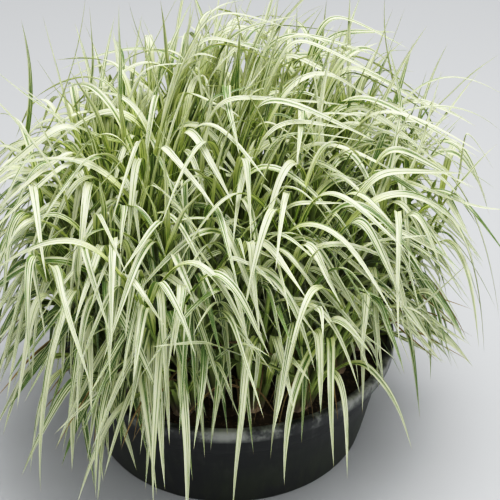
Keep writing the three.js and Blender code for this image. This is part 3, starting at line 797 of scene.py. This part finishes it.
def crown(index):
    """The knobbly base from which a tuft's shoots rise, sunk in its hole in the soil."""
    foot = np.array([*crown_feet[index], 0])
    rings = [(0.55, 0), (0.9, 0.12), (1, 0.4), (1, 0.75), (0.97, 0.93), (0.7, 1.02), (0.3, 1.06)]
    angles = np.linspace(0, 2 * math.pi, CROWN_SIDES, endpoint=False)
    points = []
    for out, rise in rings:
        radius = CROWN_RADIUS * out * tip_draws.uniform(0.86, 1, CROWN_SIDES)
        height = CROWN_TOP - CROWN_DEPTH - CROWN_PROUD + rise * (CROWN_DEPTH + CROWN_PROUD)
        points.append(foot + np.column_stack([radius * np.cos(angles), radius * np.sin(angles),
                                              np.full(CROWN_SIDES, height)]))
    faces = [tuple(range(CROWN_SIDES))[::-1]]
    for ring in range(len(rings) - 1):
        for k in range(CROWN_SIDES):
            here, after = ring * CROWN_SIDES + k, ring * CROWN_SIDES + (k + 1) % CROWN_SIDES
            faces.append((here, after, after + CROWN_SIDES, here + CROWN_SIDES))
    last = (len(rings) - 1) * CROWN_SIDES
    faces.append(tuple(last + k for k in range(CROWN_SIDES)))
    points = np.vstack(points)
    u = (CULM_COLUMN + COLUMN_MARGIN + (1 - 2 * COLUMN_MARGIN) * np.abs(
        np.tile(np.arange(CROWN_SIDES) / CROWN_SIDES * 2 - 1, len(rings)))) / ATLAS_COLUMNS
    return points, faces, np.column_stack([u, np.full(len(points), 0.012)])


# The blades' finish: it reads only a blade's map, where a column is a kind of blade, the place in
# the column runs across it and the height runs from its collar to its tip.
CREAM = (0.76, 0.80, 0.52, 1)
# Cream low on a blade: partly its real warmer tone, partly painted shade of the deep clump
SHADED_BASE_CREAM = (0.58, 0.64, 0.22, 1)
LEAF_GREEN = (0.085, 0.145, 0.010, 1)
GREY_GREEN = (0.09, 0.155, 0.045, 1)
# Yellow-green low on a blade: partly its real colour, partly painted shade of the deep clump
SHADED_LIME = (0.36, 0.46, 0.08, 1)
# The sheaths' own green, darkened with painted shade because they stand deep in the clump
SHEATH = (0.36, 0.44, 0.15, 1)
SHEATH_FOOT = (0.52, 0.40, 0.30, 1)
STRAW = (0.36, 0.25, 0.12, 1)
DEAD_BROWN = (0.13, 0.075, 0.035, 1)
DRY_TIP = (0.42, 0.30, 0.15, 1)
STRIPES_ACROSS, STRIPES_ALONG = 6.0, 1.1
VEINS_ACROSS, VEINS_ALONG = 31.0, 3.0

leaf_finish, wires, shader = new_finish("variegated_blade")
on_map = wires.node("UVMap", {"uv_map": "OFBake"})
u = on_map.node("SeparateXYZ", None, {0: on_map}, 0)
v = on_map.node("SeparateXYZ", None, {0: on_map}, 1)
spot = u * ATLAS_COLUMNS
column = spot.math("FLOOR")
across = spot.math("FRACT")
lot = column.node("TexWhiteNoise", {"noise_dimensions": "1D"}, {"W": column})


def columns_from(first):
    """1 on the columns from the first one on, and 0 before it."""
    return column.rises(first - 0.6, first - 0.4)


greener = columns_from(GREEN_COLUMNS[0]) * (1 - columns_from(GREEN_COLUMNS[1]))
paler = columns_from(PALE_COLUMNS[0]) * (1 - columns_from(PALE_COLUMNS[1]))
on_culm = columns_from(CULM_COLUMN)
withered = columns_from(WITHERED_COLUMN)
stripe_place = spot.node("CombineXYZ", None, {0: spot * STRIPES_ACROSS, 1: v * STRIPES_ALONG, 2: 0.0})
stripes = stripe_place.noise(1.0, 3.0, 0.66, "2D")
vein_place = spot.node("CombineXYZ", None, {0: spot * VEINS_ACROSS, 1: v * VEINS_ALONG, 2: 0.0})
veins = vein_place.noise(1.0, 2.0, 0.6, "2D")
from_midrib = (across - 0.5).math("ABSOLUTE")
midline = (1 - from_midrib.rises(0.015, 0.06)) * lot.rises(0.35, 0.5)
# More green stripes towards a blade's collar: partly the real greener base, partly painted shade of the
# deep clump
level = 0.55 - greener * 0.085 + paler * 0.06 - (1 - v.rises(0.0, 0.4)) * 0.06 + (lot - 0.5) * 0.06
green = stripes.rises(level - 0.010, level + 0.010)
green = (green + midline * 0.8).math("MINIMUM", 1.0)
# Towards the collar the cream darkens and lime mixes in: partly the real greener base, partly painted
# shade
cream = v.rises(0.05, 0.6).mix(SHADED_BASE_CREAM, CREAM)
cream = ((1 - v.rises(0.0, 0.55)) * 0.5).mix(cream, SHADED_LIME)
deep = v.rises(0.1, 0.7).mix(LEAF_GREEN, GREY_GREEN)
colour = (green * 0.97).mix(cream, deep)
colour = (veins.rises(0.45, 0.6) * 0.3).mix(colour, deep)
colour = (v.rises(0.965, 0.995) * 0.8).mix(colour, DRY_TIP)
# A sheath: its green, partly darkened as painted shade, with stripes, and pinkish at its foot
sheath = (stripes.rises(0.45, 0.6) * 0.45).mix(SHEATH, LEAF_GREEN)
sheath = (1 - v.rises(0.0, 0.14)).mix(sheath, SHEATH_FOOT)
colour = on_culm.mix(colour, sheath)
dead = stripes.rises(0.4, 0.62).mix(STRAW, DEAD_BROWN)
colour = withered.mix(colour, dead)
colour.feeds(shader, "Base Color")
(veins * 0.2 + 0.36 + withered * 0.25).feeds(shader, "Roughness")
relief = veins + stripes * 0.4
relief.node("Bump", None, {"Strength": 0.3, "Distance": 0.00025, "Height": relief}).feeds(
    shader, "Normal")
shader.inputs["Subsurface Weight"].default_value = 0.3
shader.inputs["Subsurface Radius"].default_value = (0.9, 1.0, 0.35)
shader.inputs["Subsurface Scale"].default_value = 0.0012
shader.inputs["Specular IOR Level"].default_value = 0.3

for index, shoots in enumerate(tufts):
    leaves = [(leaf, shoot) for shoot in shoots for leaf in shoot["leaves"]]
    parts = [crown(index), *(culm(shoot) for shoot in shoots),
             blades([leaf for leaf, _ in leaves], [column_of(*pair) for pair in leaves])]
    tuft_points, tuft_faces, tuft_places = [], [], []
    for points, faces, places in parts:
        start = sum(len(p) for p in tuft_points)
        tuft_faces += [tuple(start + i for i in face) for face in faces]
        tuft_points.append(points)
        tuft_places.append(places)
    tuft_places = np.vstack(tuft_places)[[corner for face in tuft_faces for corner in face]]
    tuft = new_piece(f"grass_tuft_{index + 1:02d}", np.vstack(tuft_points), tuft_faces, tuft_places,
                     leaf_finish, math.radians(75))
    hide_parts(f"tuft_{index + 1:02d}")
    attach(tuft, "root")

# The studio: a plain pale floor, a wide soft light overhead and a pale room all round, seen at the
# angle of the photograph, from above the front.
FLOOR_REACH = 14
PALE_FLOOR = (0.45, 0.46, 0.47, 1)
FLOOR_CLOUD = (0.40, 0.41, 0.42, 1)
ROOM_COLOUR = (0.98, 0.99, 1.0, 1)
LIGHTS_AIM = Vector((0, 0, 0.3))
CAMERA_TARGET = Vector((0.031, 0, 0.290))
CAMERA_DISTANCE = 1.8
CAMERA_ELEVATION = math.radians(32)
SEEN_WIDTH = 0.700
SENSOR_WIDTH = 36
ROOM_LIGHT = 0.10
SKY_LIGHT = 0.85
SEEN_ROOM = 0.56
EXPOSURE = 0.18
BRIGHTEST = 1.8
TONES = ((0.05, 0.034), (0.125, 0.135), (0.23, 0.275), (0.42, 0.49), (0.84, 0.78))

floor_mesh = bpy.data.meshes.new("studio_floor")
floor_mesh.from_pydata([(x * FLOOR_REACH, y * FLOOR_REACH, 0) for x, y in (
    (-1, -1), (1, -1), (1, 1), (-1, 1))], [], [(0, 1, 2, 3)])
floor = bpy.data.objects.new("studio_floor", floor_mesh)
bpy.context.scene.collection.objects.link(floor)
floor_finish, wires, shader = new_finish("pale_floor")
place = wires.node("NewGeometry")
(place.noise(1.5, 3.0) * 0.35).mix(PALE_FLOOR, FLOOR_CLOUD).feeds(shader, "Base Color")
shader.inputs["Roughness"].default_value = 0.7
floor_mesh.materials.append(floor_finish)

world = bpy.data.worlds.new("soft_room")
world.use_nodes = True
backdrop = world.node_tree.nodes["Background"]
backdrop.inputs["Color"].default_value = ROOM_COLOUR
seen_directly = Wire(world.node_tree).node("LightPath")
direction = Wire(world.node_tree).node("TexCoord")
skyward = direction.node("SeparateXYZ", None, {0: direction}, 2).rises(0.15, 0.95)
lighting = skyward * SKY_LIGHT + ROOM_LIGHT
(lighting + seen_directly * (SEEN_ROOM - lighting)).feeds(backdrop, "Strength")
bpy.context.scene.world = world


def soft_light(name, place, size, power):
    lamp = bpy.data.lights.new(name, "AREA")
    lamp.shape = "DISK"
    lamp.size, lamp.energy = size, power
    light = bpy.data.objects.new(name, lamp)
    light.location = place
    light.rotation_mode = "QUATERNION"
    light.rotation_quaternion = (LIGHTS_AIM - Vector(place)).to_track_quat("-Z", "Y")
    bpy.context.scene.collection.objects.link(light)


soft_light("overhead", (0.4, 0.0, 3.0), 2.0, 72)
soft_light("front_fill", (0.3, -2.8, 2.4), 2.0, 12)

lens = bpy.data.cameras.new("camera")
lens.sensor_width = SENSOR_WIDTH
lens.lens = SENSOR_WIDTH * CAMERA_DISTANCE / SEEN_WIDTH
camera = bpy.data.objects.new("camera", lens)
back = Vector((0, -math.cos(CAMERA_ELEVATION), math.sin(CAMERA_ELEVATION)))
camera.location = CAMERA_TARGET + back * CAMERA_DISTANCE
camera.rotation_mode = "QUATERNION"
camera.rotation_quaternion = (-back).to_track_quat("-Z", "Y")
bpy.context.scene.collection.objects.link(camera)
bpy.context.scene.camera = camera

# The film: deep shadows, bright middle tones and soft highlights, fitted to the photograph's tones
film = bpy.context.scene.view_settings
film.view_transform = "Standard"
film.exposure = EXPOSURE
film.use_curve_mapping = True
film.curve_mapping.clip_max_x = BRIGHTEST
tones = film.curve_mapping.curves[3]
tones.points[1].location = (BRIGHTEST, 1)
for light, shown in TONES:
    tones.points.new(light, shown)
film.curve_mapping.update()
